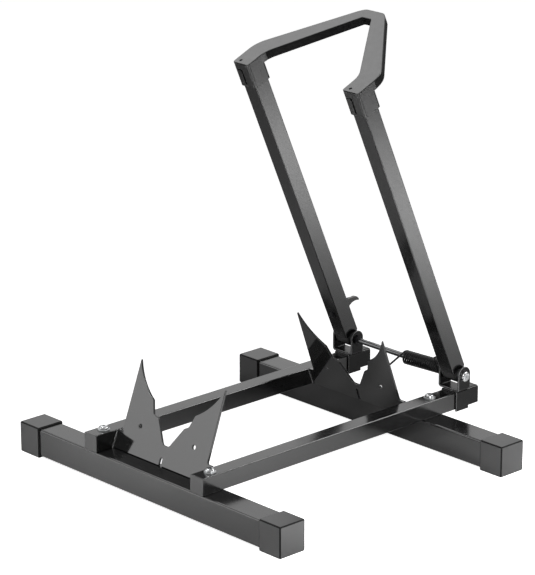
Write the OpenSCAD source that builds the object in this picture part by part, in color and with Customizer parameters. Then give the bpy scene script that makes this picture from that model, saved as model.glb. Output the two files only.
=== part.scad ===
/* [Base beams] */
// Outside size of the square base beams
beam_size = 40; // [36:1:44]
// Wall of the base beams
beam_wall = 2; // [1.5:0.5:3]
// Outer corner radius of the base beams
beam_corner = 3; // [2:0.5:4]
// Whole width of the base, over the end caps
base_width = 536; // [440:4:600]
// From the front face of the front beam to the front face of the rear beam
beam_pitch = 420; // [405:5:450]

/* [End caps] */
// Wall of the moulded caps that slip over the beam ends
cap_wall = 2.5; // [2:0.5:3.5]
// Length of a cap along its beam
cap_length = 41; // [30:1:60]
// Edge radius of the caps
cap_edge = 2; // [1:0.5:3]

/* [Rails] */
// Outside size of the square rails
rail_size = 25; // [22:1:26]
// Wall of the rails
rail_wall = 2; // [1.5:0.5:3]
// Outer corner radius of the rails
rail_corner = 1.5; // [1:0.5:3]
// Spacing of the two rails, centre to centre
rail_pitch = 219; // [210:1:230]
// Sideways shift of the rails from the middle of the beams
rail_shift = -6; // [-8:1:8]
// Length of the rails with their end plugs
rail_length = 527; // [524:1:532]
// Thickness of a rail plug's flange
plug_flange = 2; // [1:0.5:3]
// Depth that a rail plug reaches into its rail
plug_depth = 14; // [8:1:20]
// Wall of the hollow plugs
plug_wall = 2; // [1.5:0.5:3]

/* [Wheel cradles] */
// Sheet thickness of the two wheel cradles
plate_thick = 3.5; // [2:0.5:5]
// Lean of each cradle towards the other
cradle_lean = 20; // [10:1:24]
// From the front beam's front face to the front cradle's foot
cradle_front = 30; // [26:1:34]
// Gap from the rear cradle's foot to the rear beam
cradle_rear_gap = 6.5; // [4:0.5:12]
// Width of a cradle across its two horns
cradle_width = 172; // [160:2:180]
// Height of the horns along the plate
horn_height = 129; // [110:1:140]
// Width of the notch at the foot of the horns
horn_gap = 86; // [80:2:96]
// Height of the horns' foot along the plate
horn_foot = 82; // [78:0.5:90]
// Width between the two middle steps
step_gap = 72; // [64:1:76]
// Height of the middle steps along the plate
step_height = 64; // [62:1:70]
// Width of the tyre notch at its mouth
mouth_gap = 52; // [40:1:56]
// Height of the tyre notch's mouth along the plate
mouth_height = 59.5; // [56:0.5:61]
// Width of the flat at the bottom of the tyre notch
notch_gap = 12; // [8:1:18]
// Height of the bottom of the tyre notch along the plate
notch_height = 28.5; // [26:0.5:36]
// How far the tyre notch sits to the right of the cradle's middle
notch_shift = 2; // [-3:0.5:3]
// Diameter of the two holes in each cradle
cradle_hole = 6.5; // [4:0.5:8]
// Spacing of the two holes
cradle_hole_pitch = 110; // [100:1:116]
// Height of the holes along the plate
cradle_hole_height = 41; // [36:1:46]
// Width of the slit at the middle of each cradle's foot
slit_gap = 4.4; // [3.6:0.2:6]
// Height of the front cradle's slit
front_slit = 11; // [8:1:20]
// Height of the rear cradle's slit
rear_slit = 20; // [17:1:22]

/* [Rear brackets] */
// Sheet thickness of the saddles over the rails
saddle_wall = 2.5; // [2:0.5:3]
// Length of a saddle along its rail
saddle_length = 45; // [42:1:50]
// How far a saddle hangs below its rail
saddle_drop = 2.5; // [1:0.5:4]
// How much shorter the rear half of a saddle's sides is
saddle_step = 4.5; // [2:0.5:8]
// Sheet thickness of the clevises
clevis_wall = 2.5; // [2:0.5:3]
// Outside width of a clevis
clevis_width = 40; // [36:0.5:44]
// How far the round of a clevis's ears stands above the pivot's own round
ear_rise = 2; // [0:0.5:4]
// Length of a clevis along its rail
clevis_length = 24; // [22:1:26]
// Outer bend radius of the saddles and clevises
bend_radius = 3.5; // [3:0.5:4]
// From the front face of the front beam to the pivot
pivot_reach = 496.5; // [495:0.5:500]
// Height of the pivot above the clevis's floor
pivot_rise = 19.2; // [18:0.2:24]

/* [Pivot] */
// Diameter of the pivot rod
rod_size = 8; // [7:0.5:9]
// Diameter of the bushes in the knuckles
bush_size = 12; // [11:0.5:13]
// Diameter of the knuckles' round ends
knuckle_size = 22; // [20:1:23]
// Depth that a knuckle reaches into its upright
knuckle_depth = 36; // [20:1:60]
// Diameter of the spacer washers beside the knuckles
washer_size = 16; // [14:0.5:18]
// Width across the flats of the rod's thin nuts
rod_nut_size = 13; // [12:0.5:14]
// Thickness of the rod's thin nuts
rod_nut_thick = 3; // [3:0.5:5]
// Diameter of the round heads on the rod's ends
pivot_head_size = 15; // [12:0.5:17]
// Height of the round heads on the rod's ends
pivot_head_height = 4.5; // [3:0.5:6]

/* [Hoop] */
// Spacing of the two uprights, centre to centre
hoop_pitch = 217; // [214:1:221]
// Sideways shift of the hoop from the middle of the rails
hoop_shift = -1; // [-2:0.5:2]
// Lean of the hoop towards the front at rest
hoop_lean = 23.7; // [15:0.1:30]
// Outside size of the square uprights
tube_size = 25.5; // [24:0.5:26]
// Wall of the uprights
tube_wall = 2; // [1.5:0.5:2.5]
// Outer corner radius of the uprights
tube_corner = 1.5; // [1:0.5:3]
// From the pivot to the lower end of the uprights
tube_start = 9.5; // [9:0.5:14]
// From the pivot to the top face of the handle
hoop_height = 500; // [440:2:520]

/* [Handle] */
// Thickness of the handle's flat top
handle_thick = 13; // [8:0.5:14]
// Wall of the sockets over the uprights
socket_wall = 3; // [2:0.5:4]
// Length of the sockets below the handle's top face
socket_length = 40; // [30:1:60]
// Roof left over an upright's end
socket_roof = 3.5; // [2.5:0.5:5]
// Reach of the handle behind the uprights' middle
handle_reach = 154.5; // [140:0.5:180]
// Width of the rear crossbar over its corners
crossbar_width = 53; // [44:1:60]
// Depth of the rear crossbar from front to back
crossbar_depth = 18.5; // [16:0.5:26]
// Where the outer edge starts to slant, behind the uprights' middle
outer_bend = 33; // [24:1:40]
// Where the inner edge starts to slant, behind the uprights' middle
inner_bend = 20; // [12:1:24]
// Radius of the bend on the handle's outer edge
outer_round = 42; // [16:1:46]
// Radius of the bend on the handle's inner edge
inner_round = 36; // [14:1:40]
// Radius of the upright corners of the sockets and of the handle's feet
handle_corner = 5; // [2:0.5:6]
// Width of the inner gap at its rear end
inner_gap_end = 17; // [12:1:26]
// Width of the arched grooves on the sockets' front
arch_width = 10.5; // [8:0.5:14]
// Height of the arched grooves on the sockets' front
arch_height = 25; // [20:1:27]
// How far the arched grooves and the top screws sit to the left of each socket's middle
arch_shift = 5; // [0:0.5:6]
// Width and depth of the arched grooves
groove_size = 1.6; // [0.8:0.1:1.8]

/* [Hook] */
// Thickness of the hook behind the left upright
hook_thick = 5; // [4.5:0.5:8]
// Reach of the hook behind the upright
hook_reach = 28; // [20:1:32]
// Height of the hook at its root
hook_height = 18; // [14:1:22]
// Height of the hook's screw above the pivot
hook_rise = 51; // [50:1:70]

/* [Spring] */
// Wire diameter of the torsion spring
wire_size = 2.9; // [2.2:0.1:3]
// Outside diameter of the torsion spring
spring_size = 20.8; // [19.6:0.1:21.2]
// Where the coils start, from the middle of the beams
spring_start = 4.5; // [0:0.5:10]
// Number of whole turns
spring_turns = 16; // [12:1:17]
// Height above the pivot of the hole that takes the upper leg
spring_leg_rise = 27; // [25:1:32]
// How much lower than the rod the coils lie at their inner end
spring_sag = 0.7; // [0:0.1:1.2]
// How much higher than the rod the coils lie at their outer end
spring_lift = 2.3; // [0:0.1:2.5]

/* [Fasteners] */
// Diameter of the bolts through rails and beams
bolt_size = 8; // [6:0.5:9]
// Diameter of the round bolt heads
bolt_head_size = 14; // [12:0.5:16]
// Height of the round bolt heads
bolt_head_height = 4.4; // [3:0.2:5]
// From a beam's front face to its bolts
bolt_setback = 24; // [18:1:26]
// Thickness of the washers under the bolt heads
bolt_washer_thick = 1.4; // [1:0.2:2]
// Diameter of the washers under the bolt heads
bolt_washer_size = 17; // [15:0.5:20]
// Height of the nuts inside the beams
bolt_nut_height = 6.5; // [5:0.5:8]
// Diameter of the small screws
screw_size = 5; // [4:0.5:5]
// Diameter of the small screws' round heads
screw_head_size = 9.5; // [8:0.5:10]
// Height of the small screws' heads
screw_head_height = 3; // [2:0.5:3.5]

/* [Hidden] */

// Clearances and overruns
sit_gap = 0.3;
slip_gap = 0.2;
run_gap = 0.05;
overrun = 1;

// Heights and places of the base
beam_top = cap_wall + beam_size;
rail_top = beam_top + rail_size;
saddle_top = rail_top + saddle_wall;
clevis_floor = saddle_top + clevis_wall;
pivot_height = clevis_floor + pivot_rise;
rail_x = rail_pitch / 2;
cap_outside = beam_size + 2 * cap_wall;
ear_radius = clevis_length / 2;
saddle_front = pivot_reach - ear_radius - saddle_wall / 4;
saddle_rear = saddle_front + saddle_length;
saddle_notch = saddle_front + saddle_length / 2 + saddle_wall;
// The middle of the whole part from front to back
middle_y = (saddle_rear - cap_wall) / 2;

// The clevises' inner gap and what fills it
clevis_gap = clevis_width - 2 * clevis_wall;
spacer_thick = (clevis_gap - tube_size) / 2 - sit_gap;
tube_x = hoop_pitch / 2;
hoop_x = rail_shift + hoop_shift;
rod_length = hoop_pitch + clevis_width;
tapping_size = rod_size * 3 / 4;
tapping_depth = clevis_wall * 4;

// The cradles
tab_width = rail_pitch - rail_size;
tab_height = rail_size / cos(cradle_lean);
horn_curve_share = 0.083;
horn_tip_radius = plate_thick / 3;
notch_radius = notch_gap / 2;

// Screw heads, sockets and washers
head_edge_share = 0.28;
key_share = 0.5;
key_depth_share = 0.55;
nut_flats_share = 1.625;
thin_plate = plug_flange / 2;

// Handle
socket_half = tube_size / 2 + socket_wall;
arch_clear = socket_wall * 3 / 2;
top_screw_size = screw_size / 2;
top_screw_head = screw_size;
rear_round = crossbar_depth * 2 / 3;
tube_end = hoop_height - socket_roof;

// Top plugs in the uprights and the hook's screw
top_plug_depth = socket_length - socket_wall;
hook_screw_reach = tube_size / 2 + hook_thick;
hook_screw_size = screw_size * 2 / 3;
knuckle_relief = socket_wall / 2;

// Spring
wire_radius = wire_size / 2;
coil_radius = spring_size / 2 - wire_radius;
leg_bend = wire_size * 1.4;
slit_aim = rear_slit * 0.6;
curl_rings = 8;
wire_sides = 6;

// Shared outlines

// A point of an arc about a centre
function on_arc(centre, radius, angle) = centre + radius * [cos(angle), sin(angle)];

function heading(from, to) = atan2(to[1] - from[1], to[0] - from[0]);

// Difference of two headings, between half a turn each way
function turn_between(a, b) = (b - a + 540) % 360 - 180;

// The points that round one corner of an outline
function rounded_corner(before, corner, after, radius, steps = 6) =
    let (
        a = heading(before, corner),
        b = heading(corner, after),
        turn = turn_between(a, b),
        side = turn > 0 ? 1 : -1,
        back = radius * tan(abs(turn) / 2),
        start = corner - back * [cos(a), sin(a)],
        centre = start + side * radius * [-sin(a), cos(a)]
    )
    radius == 0 || abs(turn) < 1 ? [corner] :
    [for (i = [0 : steps]) on_arc(centre, radius, a - side * 90 + turn * i / steps)];

// An outline given as [point, radius] pairs, with its corners rounded
function rounded_outline(corners) =
    let (n = len(corners))
    [for (i = [0 : n - 1])
        each rounded_corner(corners[(i + n - 1) % n][0], corners[i][0],
                            corners[(i + 1) % n][0], corners[i][1])];

// Points of a shallow arc between two points, bulging to the right by a share of its chord
function bowed(from, to, share, steps = 8) =
    let (
        chord = norm(to - from),
        bulge = chord * share,
        radius = (chord * chord / 4 + bulge * bulge) / (2 * bulge),
        a = heading(from, to),
        centre = (from + to) / 2 + (radius - bulge) * [-sin(a), cos(a)],
        half = asin(chord / 2 / radius)
    )
    [for (i = [1 : steps - 1]) on_arc(centre, radius, a - 90 - half + 2 * half * i / steps)];

function mirrored(points) = [for (i = [len(points) - 1 : -1 : 0]) [-points[i][0], points[i][1]]];

module round_rect(width, depth, radius) {
    square([width - 2 * radius, depth], center = true);
    square([width, depth - 2 * radius], center = true);
    for (x = [-1, 1], y = [-1, 1])
        translate([x * (width / 2 - radius), y * (depth / 2 - radius)])
            circle(r = radius, $fn = 32);
}

// A block with its long edges rounded in all three directions
module soft_block(size, radius) {
    intersection() {
        linear_extrude(size[2], center = true) round_rect(size[0], size[1], radius);
        rotate([90, 0, 0]) linear_extrude(size[1], center = true) round_rect(size[0], size[2], radius);
        rotate([90, 0, 90]) linear_extrude(size[0], center = true) round_rect(size[1], size[2], radius);
    }
}

// A square tube along +Z, from zero
module square_tube(size, wall, corner, length) {
    linear_extrude(length) difference() {
        round_rect(size, size, corner);
        round_rect(size - 2 * wall, size - 2 * wall, corner / 2);
    }
}

// Places

// The base stands with its middle over the origin
module on_base() {
    translate([0, -middle_y, 0]) children();
}

// Side is -1 for the left rail and 1 for the right one
module on_rail(side) {
    on_base() translate([rail_shift + side * rail_x, 0, 0]) children();
}

// The middle of the hoop, on the axis it swings about
module on_pivot() {
    on_base() translate([hoop_x, pivot_reach, pivot_height]) children();
}

// The hoop's own directions: across, behind the uprights, and up along them
module on_hoop() {
    on_pivot() rotate([hoop_lean, 0, 0]) children();
}

module on_upright(side) {
    on_hoop() translate([side * tube_x, 0, 0]) children();
}

module across() {
    rotate([0, 90, 0]) children();
}

module at_bolts() {
    for (side = [-1, 1], y = [0, beam_pitch])
        on_rail(side) translate([0, y + bolt_setback, 0]) children();
}

// Round-headed screw, its head's seat at zero and its shank downwards
module round_screw(head_size, head_height, shank_size, shank_length) {
    edge = head_height * head_edge_share;
    difference() {
        union() {
            rotate_extrude($fn = 64) polygon(concat(
                [[0, 0], [head_size / 2, 0]],
                [for (a = [0 : 15 : 90])
                    [(head_size / 2 - head_size / 4) + head_size / 4 * cos(a),
                     edge + (head_height - edge) * sin(a)]],
                [[0, head_height]]));
            translate([0, 0, -shank_length])
                cylinder(d = shank_size, h = shank_length + edge / 2, $fn = 48);
        }
        translate([0, 0, head_height * (1 - key_depth_share)])
            cylinder(d = shank_size * key_share / cos(30), h = head_height, $fn = 6);
    }
}

module hex_nut(flats, height, bore) {
    difference() {
        cylinder(d = flats / cos(30), h = height, $fn = 6);
        translate([0, 0, -overrun]) cylinder(d = bore, h = height + 2 * overrun, $fn = 48);
    }
}

// Base

module beam(front_y) {
    length = base_width - 2 * cap_wall;
    difference() {
        on_base() translate([-length / 2, front_y + beam_size / 2, cap_wall + beam_size / 2])
            across() square_tube(beam_size, beam_wall, beam_corner, length);
        for (side = [-1, 1]) on_rail(side)
            translate([0, front_y + bolt_setback, beam_top - 2 * beam_wall])
                cylinder(d = bolt_size + 2 * slip_gap, h = 3 * beam_wall, $fn = 48);
    }
}

module front_beam() { color("#17181a") beam(0); }

module rear_beam() { color("#17181a") beam(beam_pitch); }

// A moulded cap over one beam end; side is -1 on the left
module cap(side, front_y) {
    on_base() translate([side * (base_width / 2 - cap_length / 2), front_y + beam_size / 2, cap_outside / 2])
        difference() {
            soft_block([cap_length, cap_outside, cap_outside], cap_edge);
            translate([-side * cap_wall - cap_length / 2, 0, 0]) across()
                linear_extrude(cap_length) round_rect(beam_size, beam_size, beam_corner / 2);
        }
}

module front_left_cap() { color("#232426") cap(-1, 0); }

module front_right_cap() { color("#232426") cap(1, 0); }

module rear_left_cap() { color("#232426") cap(-1, beam_pitch); }

module rear_right_cap() { color("#232426") cap(1, beam_pitch); }

module rail(side) {
    difference() {
        on_rail(side) translate([0, plug_flange, beam_top + rail_size / 2]) rotate([-90, 0, 0])
            square_tube(rail_size, rail_wall, rail_corner, rail_length - 2 * plug_flange);
        for (y = [0, beam_pitch]) on_rail(side) translate([0, y + bolt_setback, beam_top - overrun])
            cylinder(d = bolt_size + 2 * slip_gap, h = rail_size + 2 * overrun, $fn = 48);
    }
}

module left_rail() { color("#17181a") rail(-1); }

module right_rail() { color("#17181a") rail(1); }

// A hollow plug in the end of a square tube, its flange at zero and its body towards +Z
module end_plug(size, wall, corner, depth, flange) {
    inside = size - 2 * wall;
    linear_extrude(flange) round_rect(size, size, corner);
    linear_extrude(flange + depth) difference() {
        round_rect(inside, inside, corner / 2);
        round_rect(inside - 2 * plug_wall, inside - 2 * plug_wall, corner / 2);
    }
}

module rail_plug(side, at_rear) {
    on_rail(side) translate([0, at_rear ? rail_length : 0, beam_top + rail_size / 2])
        rotate([at_rear ? 90 : -90, 0, 0])
            end_plug(rail_size, rail_wall, rail_corner, plug_depth, plug_flange);
}

module left_front_plug() { color("#232426") rail_plug(-1, false); }

module right_front_plug() { color("#232426") rail_plug(1, false); }

module left_rear_plug() { color("#232426") rail_plug(-1, true); }

module right_rear_plug() { color("#232426") rail_plug(1, true); }

// The right half of a cradle, from its foot up over the horn and down into the notch
function cradle_half(shift) =
    let (
        tip = [cradle_width / 2, horn_height],
        foot = [horn_gap / 2, horn_foot]
    )
    concat(
        rounded_outline_open([
            [[0, 0], 0],
            [[tab_width / 2, 0], 0],
            [[tab_width / 2, tab_height], horn_tip_radius],
            [[cradle_width / 2 + horn_tip_radius, tab_height], 2 * horn_tip_radius],
            [tip, 0]
        ]),
        bowed(tip, foot, -horn_curve_share),
        rounded_outline_open([
            [foot, 0],
            [[step_gap / 2, step_height], 2 * horn_tip_radius],
            [[mouth_gap / 2 + shift, mouth_height], 2 * horn_tip_radius],
            [[notch_gap / 2 + shift, notch_height], notch_radius],
            [[shift, notch_height], 0]
        ])
    );

// As rounded_outline, for a stretch whose two ends stay as they are
function rounded_outline_open(corners) =
    let (n = len(corners))
    [for (i = [0 : n - 1])
        each i == 0 || i == n - 1 ? [corners[i][0]] :
            rounded_corner(corners[i - 1][0], corners[i][0], corners[i + 1][0], corners[i][1])];

// A cradle flat in X and Y, its foot on the X axis and its sheet in Z
module cradle_sheet(slit_height) {
    linear_extrude(plate_thick) difference() {
        polygon(concat(cradle_half(notch_shift), mirrored(cradle_half(-notch_shift))));
        for (side = [-1, 1]) translate([side * cradle_hole_pitch / 2, cradle_hole_height])
            circle(d = cradle_hole, $fn = 48);
        translate([-slit_gap / 2, -overrun]) square([slit_gap, slit_height - slit_gap / 2 + overrun]);
        translate([0, slit_height - slit_gap / 2]) circle(d = slit_gap, $fn = 32);
    }
}

module cradle(foot_y, foot_z, lean, slit_height) {
    on_base() translate([rail_shift, foot_y, foot_z]) rotate([lean, 0, 0])
        translate([0, plate_thick, 0]) rotate([90, 0, 0]) cradle_sheet(slit_height);
}

module front_cradle() {
    color("#1b1c1e")
        cradle(cradle_front, beam_top + plate_thick * sin(cradle_lean), -cradle_lean, front_slit);
}

module rear_cradle() {
    color("#1b1c1e") cradle(beam_pitch - cradle_rear_gap, beam_top, cradle_lean, rear_slit);
}

// A saddle's section across the rail: a channel turned upside down
module saddle_section(drop) {
    width = rail_size + 2 * saddle_wall;
    height = rail_size + saddle_wall + drop;
    translate([0, saddle_top - height / 2]) difference() {
        union() {
            round_rect(width, height, bend_radius);
            translate([-width / 2, -height / 2]) square([width, height / 2]);
        }
        translate([0, -saddle_wall - overrun / 2]) round_rect(rail_size, height + overrun, rail_corner / 2);
    }
}

module saddle(side) {
    on_rail(side) {
        translate([0, saddle_notch, 0]) rotate([90, 0, 0])
            linear_extrude(saddle_notch - saddle_front) saddle_section(saddle_drop);
        translate([0, saddle_rear, 0]) rotate([90, 0, 0])
            linear_extrude(saddle_rear - saddle_notch) saddle_section(saddle_drop - saddle_step);
    }
}

module left_saddle() { color("#17181a") saddle(-1); }

module right_saddle() { color("#17181a") saddle(1); }

// A clevis: a floor on the saddle with a round-topped ear on each side of the upright
module clevis(side) {
    round_up = pivot_height - saddle_top + ear_rise;
    on_pivot() translate([side * tube_x, 0, 0]) difference() {
        translate([0, 0, saddle_top - pivot_height]) intersection() {
            translate([0, clevis_length / 2, 0]) rotate([90, 0, 0]) linear_extrude(clevis_length)
                difference() {
                    translate([0, clevis_width / 2]) round_rect(clevis_width, clevis_width, bend_radius);
                    translate([0, clevis_wall + clevis_width / 2])
                        round_rect(clevis_gap, clevis_width, bend_radius - clevis_wall);
                }
            translate([-clevis_width / 2 - overrun, 0, 0]) rotate([90, 0, 90])
                linear_extrude(clevis_width + 2 * overrun) {
                    translate([-clevis_length / 2, 0]) square([clevis_length, round_up]);
                    translate([0, round_up]) circle(r = ear_radius, $fn = 96);
                }
        }
        translate([-clevis_width, 0, 0]) across()
            cylinder(d = rod_size + 2 * run_gap, h = 2 * clevis_width, $fn = 64);
    }
}

module left_clevis() { color("#17181a") clevis(-1); }

module right_clevis() { color("#17181a") clevis(1); }

module rail_bolts() {
    color("#c9cbce") at_bolts() translate([0, 0, rail_top + bolt_washer_thick])
        round_screw(bolt_head_size, bolt_head_height, bolt_size,
                    bolt_washer_thick + rail_size + beam_wall + bolt_nut_height);
}

module rail_washers() {
    color("#b9bbbf") at_bolts() translate([0, 0, rail_top]) difference() {
        cylinder(d = bolt_washer_size, h = bolt_washer_thick, $fn = 64);
        translate([0, 0, -overrun])
            cylinder(d = bolt_size + 2 * slip_gap, h = bolt_washer_thick + 2 * overrun, $fn = 48);
    }
}

module beam_nuts() {
    color("#b9bbbf") at_bolts() translate([0, 0, beam_top - beam_wall - bolt_nut_height])
        hex_nut(bolt_size * nut_flats_share, bolt_nut_height, bolt_size + 2 * run_gap);
}

// Pivot

module pivot_rod() {
    color("#1b1c1e") on_pivot() difference() {
        translate([-rod_length / 2, 0, 0]) across() cylinder(d = rod_size, h = rod_length, $fn = 64);
        for (side = [-1, 1]) translate([side * rod_length / 2 - tapping_depth, 0, 0]) across()
            cylinder(d = tapping_size, h = 2 * tapping_depth, $fn = 48);
    }
}

module pivot_screw(side) {
    on_pivot() translate([side * rod_length / 2, 0, 0]) rotate([0, side * 90, 0])
        round_screw(pivot_head_size, pivot_head_height, tapping_size - 2 * run_gap,
                    tapping_depth - overrun);
}

module left_pivot_screw() { color("#c9cbce") pivot_screw(-1); }

module right_pivot_screw() { color("#c9cbce") pivot_screw(1); }

module rod_nuts() {
    color("#1b1c1e") on_pivot() for (side = [-1, 1])
        translate([side * (tube_x - clevis_width / 2 - rod_nut_thick / 2) - rod_nut_thick / 2, 0, 0]) across()
            hex_nut(rod_nut_size, rod_nut_thick, rod_size + 2 * run_gap);
}

module spacer_washers() {
    color("#b9bbbf") on_pivot() for (side = [-1, 1], face = [-1, 1])
        translate([side * tube_x + face * (clevis_gap / 2 - spacer_thick / 2) - spacer_thick / 2, 0, 0])
            across() difference() {
                cylinder(d = washer_size, h = spacer_thick, $fn = 64);
                translate([0, 0, -overrun])
                    cylinder(d = rod_size + 2 * run_gap, h = spacer_thick + 2 * overrun, $fn = 64);
            }
}

// Spring: one wire from the rear cradle's slit, round the rod and into the right upright

spring_end = hoop_x + tube_x - clevis_width / 2 - rod_nut_thick - wire_radius - 2 * sit_gap;
spring_length = spring_end - spring_start;

// Height of the coils' middle over the rod at a place along it
function coil_lift(x) =
    -spring_sag + (spring_sag + spring_lift) * (x - spring_start) / spring_length;

function coil_middle(x) = [pivot_reach, pivot_height + coil_lift(x)];

// Where the lower leg passes the slit, and where the upper leg turns into the upright
slit_point = [beam_pitch - cradle_rear_gap - slit_aim * sin(cradle_lean) - plate_thick,
              beam_top + slit_aim * cos(cradle_lean)];
upper_bore = [-tube_size / 4, spring_leg_rise];
upper_point = [pivot_reach, pivot_height]
    + upper_bore[0] * [cos(hoop_lean), sin(hoop_lean)]
    + upper_bore[1] * [-sin(hoop_lean), cos(hoop_lean)];

// The angle round the coil where a straight leg to a point leaves it
function leg_angle(middle, point, side) =
    heading(middle, point) + side * acos(coil_radius / norm(point - middle));

start_angle = leg_angle(coil_middle(spring_start), slit_point, -1);
end_angle = leg_angle(coil_middle(spring_end), upper_point, 1);
coil_turn = 360 * spring_turns + (start_angle - end_angle + 720) % 360;
coil_steps = ceil(coil_turn / 360 * curl_rings);

function coil_point(share) =
    let (
        x = spring_start + spring_length * share,
        a = start_angle - coil_turn * share,
        middle = coil_middle(x)
    )
    [x, middle[0] + coil_radius * cos(a), middle[1] + coil_radius * sin(a)];

function in_yz(x, point) = [x, point[0], point[1]];

leg_way = (upper_point - [coil_point(1)[1], coil_point(1)[2]])
    / norm(upper_point - [coil_point(1)[1], coil_point(1)[2]]);
leg_top = upper_point - leg_bend * leg_way;
tube_face = hoop_x + tube_x - tube_size / 2;
lower_tail = slit_point + wire_size * (slit_point - [coil_point(0)[1], coil_point(0)[2]])
    / norm(slit_point - [coil_point(0)[1], coil_point(0)[2]]);

// The wire's middle line. The lower leg drifts sideways from the slit to the first coil.
spring_path = concat(
    [in_yz(rail_shift, lower_tail), in_yz(rail_shift, slit_point)],
    [for (i = [0 : coil_steps]) coil_point(i / coil_steps)],
    [in_yz(spring_end, leg_top)],
    [for (a = [30, 60, 90])
        in_yz(spring_end + leg_bend * (1 - cos(a)), leg_top + leg_bend * sin(a) * leg_way)],
    [in_yz(tube_face, upper_point), in_yz(tube_face + tube_wall + wire_size, upper_point)]
);

function unit(v) = v / norm(v);

// The direction along the wire at each of its points
function along(path, i) =
    let (n = len(path))
    i == 0 ? unit(path[1] - path[0]) :
    i == n - 1 ? unit(path[n - 1] - path[n - 2]) :
    unit(unit(path[i] - path[i - 1]) + unit(path[i + 1] - path[i]));

// A direction square to the wire, which also lies square to the rod
function beside(direction) =
    let (sideways = cross(direction, [1, 0, 0]))
    norm(sideways) > sin(5) ? unit(sideways) : unit(cross([0, leg_way[0], leg_way[1]], [1, 0, 0]));

module wire(path, radius, sides) {
    n = len(path);
    points = [for (i = [0 : n - 1])
        let (way = along(path, i), u = beside(way), v = cross(way, u))
        for (k = [0 : sides - 1])
            path[i] + radius * (cos(360 * k / sides) * u + sin(360 * k / sides) * v)];
    walls = [for (i = [0 : n - 2], k = [0 : sides - 1])
        let (a = i * sides + k, b = i * sides + (k + 1) % sides)
        each [[a, b, b + sides], [a, b + sides, a + sides]]];
    first = [for (k = [1 : sides - 2]) [0, k + 1, k]];
    last = [for (k = [1 : sides - 2]) [(n - 1) * sides, (n - 1) * sides + k, (n - 1) * sides + k + 1]];
    polyhedron(points, concat(walls, first, last));
}

// The least gap between one turn and the next, measured on the points
turn_gaps = [for (i = [0 : coil_steps - curl_rings])
    norm(coil_point((i + curl_rings) / coil_steps) - coil_point(i / coil_steps)) - wire_size];
echo(least_wire_gap = min(turn_gaps), wire_rings = len(spring_path));

module torsion_spring() {
    color("#101112") on_base() wire(spring_path, wire_radius, wire_sides);
}

// Hoop

module upright(side) {
    difference() {
        on_upright(side) translate([0, 0, tube_start])
            square_tube(tube_size, tube_wall, tube_corner, tube_end - tube_start);
        if (side > 0) on_upright(side) translate([-tube_size, upper_bore[0], upper_bore[1]]) across()
            cylinder(d = wire_size + 2 * slip_gap, h = tube_size, $fn = 32);
        if (side < 0) on_upright(side) translate([0, -tube_size, hook_rise]) rotate([-90, 0, 0])
            cylinder(d = hook_screw_size + 2 * slip_gap, h = 2 * tube_size, $fn = 48);
    }
}

module left_upright() { color("#17181a") upright(-1); }

module right_upright() { color("#17181a") upright(1); }

// A knuckle: a round end on the pivot, with a hollow shank inside the upright
module knuckle(side) {
    inside = tube_size - 2 * tube_wall;
    on_upright(side) difference() {
        union() {
            intersection() {
                translate([-tube_size / 2, 0, 0]) across()
                    cylinder(d = knuckle_size, h = tube_size, $fn = 96);
                translate([0, 0, -knuckle_size]) linear_extrude(knuckle_size + tube_start)
                    square([tube_size, knuckle_size], center = true);
            }
            linear_extrude(tube_start) round_rect(tube_size, knuckle_size, knuckle_relief);
            linear_extrude(tube_start + knuckle_depth) round_rect(inside, inside, tube_corner / 2);
        }
        translate([-tube_size, 0, 0]) across() cylinder(d = bush_size, h = 2 * tube_size, $fn = 64);
        translate([0, 0, tube_start + tube_wall]) linear_extrude(knuckle_depth)
            round_rect(inside - 2 * plug_wall, inside - 2 * plug_wall, tube_corner / 2);
        translate([-tube_size, upper_bore[0], upper_bore[1]]) across()
            cylinder(d = wire_size + 4 * slip_gap, h = tube_size, $fn = 32);
    }
}

module left_knuckle() { color("#232426") knuckle(-1); }

module right_knuckle() { color("#232426") knuckle(1); }

module bush(side) {
    on_upright(side) translate([-tube_size / 2, 0, 0]) across() difference() {
        cylinder(d = bush_size, h = tube_size, $fn = 64);
        translate([0, 0, -overrun])
            cylinder(d = rod_size + 2 * run_gap, h = tube_size + 2 * overrun, $fn = 64);
    }
}

module left_bush() { color("#b08d57") bush(-1); }

module right_bush() { color("#b08d57") bush(1); }

// The handle seen from above, right half from the front of the foot round to the rear middle
function handle_half() =
    let (
        outside = tube_x + socket_half,
        inside = tube_x - socket_half
    )
    concat(
        rounded_outline_open([
            [[tube_x, -socket_half], 0],
            [[outside, -socket_half], handle_corner],
            [[outside, outer_bend], outer_round],
            [[crossbar_width / 2, handle_reach - crossbar_depth * 2 / 5], rear_round],
            [[crossbar_width / 3, handle_reach], crossbar_width / 4],
            [[0, handle_reach], 0]
        ]),
        rounded_outline_open([
            [[0, handle_reach - crossbar_depth], 0],
            [[inner_gap_end / 2, handle_reach - crossbar_depth], inner_gap_end / 4],
            [[inside, inner_bend], inner_round],
            [[inside, -socket_half], handle_corner],
            [[tube_x, -socket_half], 0]
        ])
    );

// A socket seen from above, with the same front corners as the handle over it
function socket_outline(side) =
    rounded_outline([
        for (corner = [[-1, -1], [1, -1], [1, 1], [-1, 1]])
            [[side * tube_x, 0] + socket_half * corner, handle_corner]
    ]);

function handle_outline() =
    let (
        half = handle_half(),
        n = len(half),
        outer = [for (i = [0 : n - 1]) if (half[i][0] == 0 && half[i][1] == handle_reach) i][0],
        right = [for (i = [1 : outer]) half[i]],
        inner = [for (i = [outer + 1 : n - 1]) half[i]]
    )
    concat(right, mirrored([for (i = [0 : outer - 1]) half[i]]), mirrored_back(inner), inner);

function mirrored_back(points) = [for (i = [len(points) - 2 : -1 : 1]) [-points[i][0], points[i][1]]];

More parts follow.
